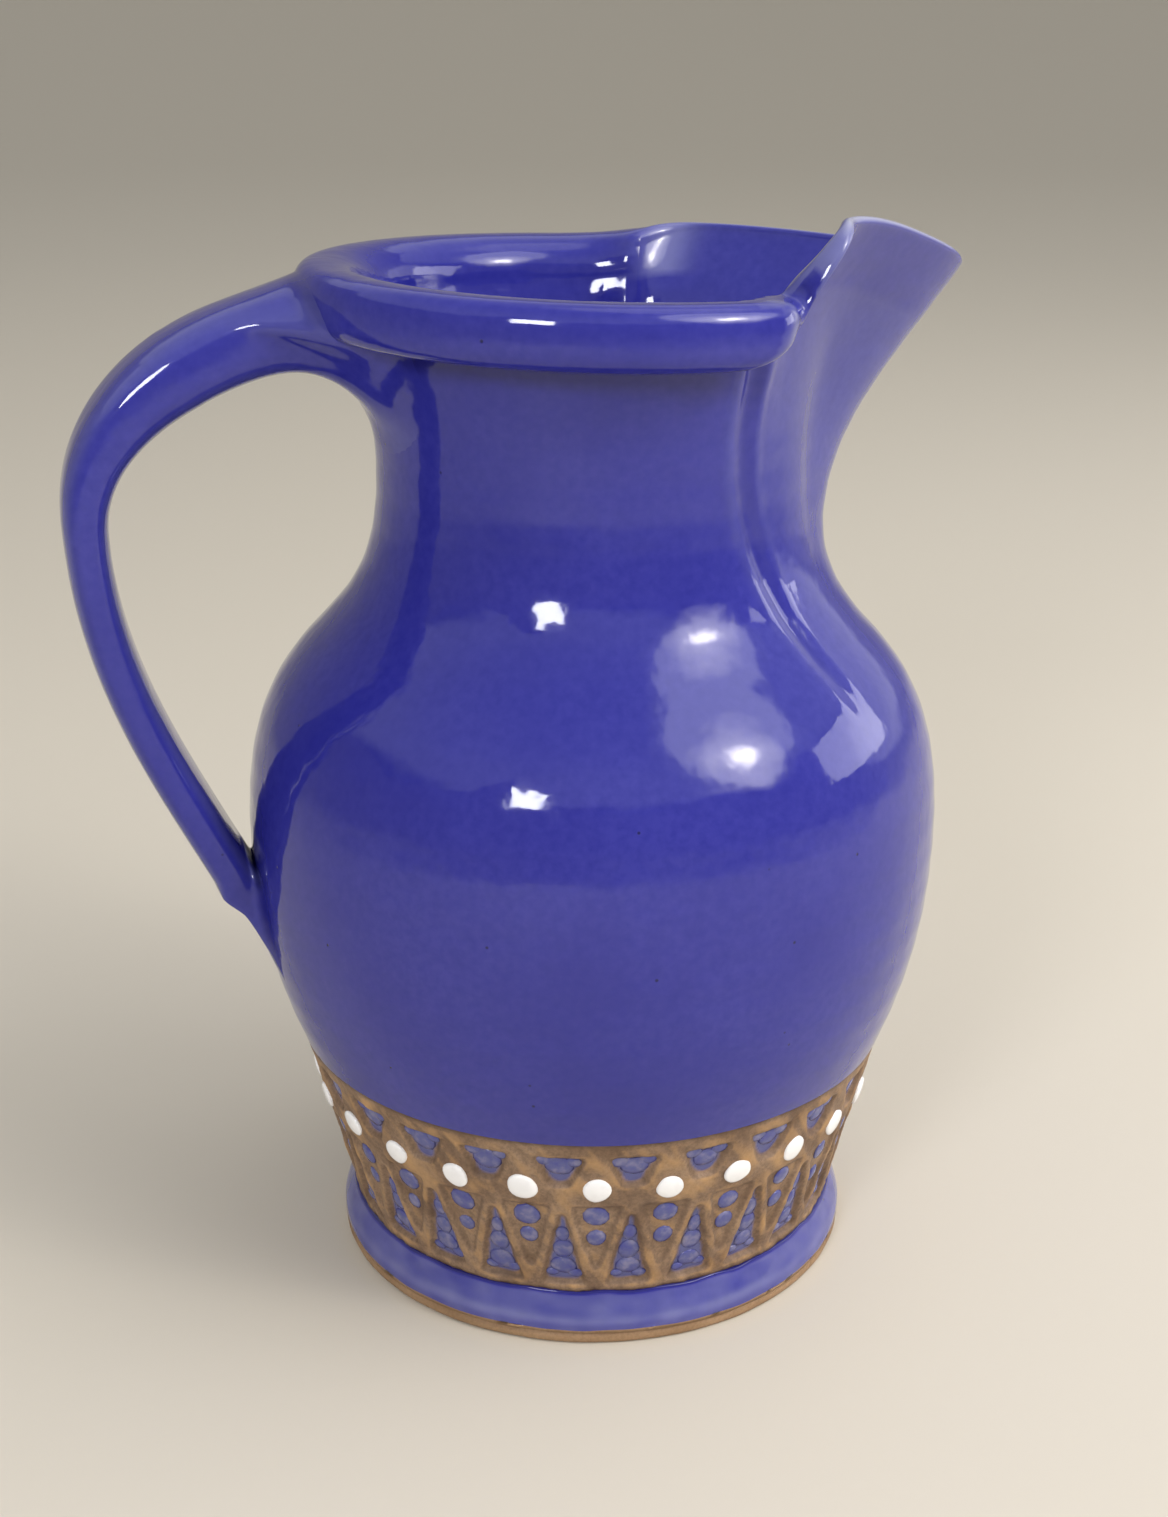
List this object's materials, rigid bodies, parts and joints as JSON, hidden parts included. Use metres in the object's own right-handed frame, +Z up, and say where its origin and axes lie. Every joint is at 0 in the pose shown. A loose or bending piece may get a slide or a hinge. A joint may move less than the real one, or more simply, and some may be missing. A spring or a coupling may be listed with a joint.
{
  "type": "stoneware pitcher",
  "caption": "Blue-glazed stoneware pitcher with rolled rim, beak spout, pulled strap handle and a bare carved clay band with white slip dots above a flared foot.",
  "frame": {"origin": "centre of the foot on the surface that the pitcher stands on", "axes": "+Z up along the axis of the pot, +X towards the tip of the spout, handle at -X"},
  "size_m": [0.2219, 0.1754, 0.2684],
  "materials": {
    "blue_glaze": "glossy violet-cobalt glaze on stoneware",
    "bare_clay": "unglazed warm brown stoneware, matte",
    "white_slip": "glossy white slip dots",
    "thin_blue_glaze": "thin blue glaze drops in the carving, satin"
  },
  "bodies": {
    "root": {"base": "bare_clay", "foot_ring": "blue_glaze", "carved_band": "bare_clay", "belly": "blue_glaze", "neck": "blue_glaze", "rim_roll": "blue_glaze", "spout": "blue_glaze", "handle": "blue_glaze", "handle_upper_root": "blue_glaze", "handle_lower_root": "blue_glaze", "slip_dots": "white_slip", "upper_drops": "thin_blue_glaze", "hanging_drops": "thin_blue_glaze", "standing_drops": "thin_blue_glaze"}
  },
  "joints": []
}
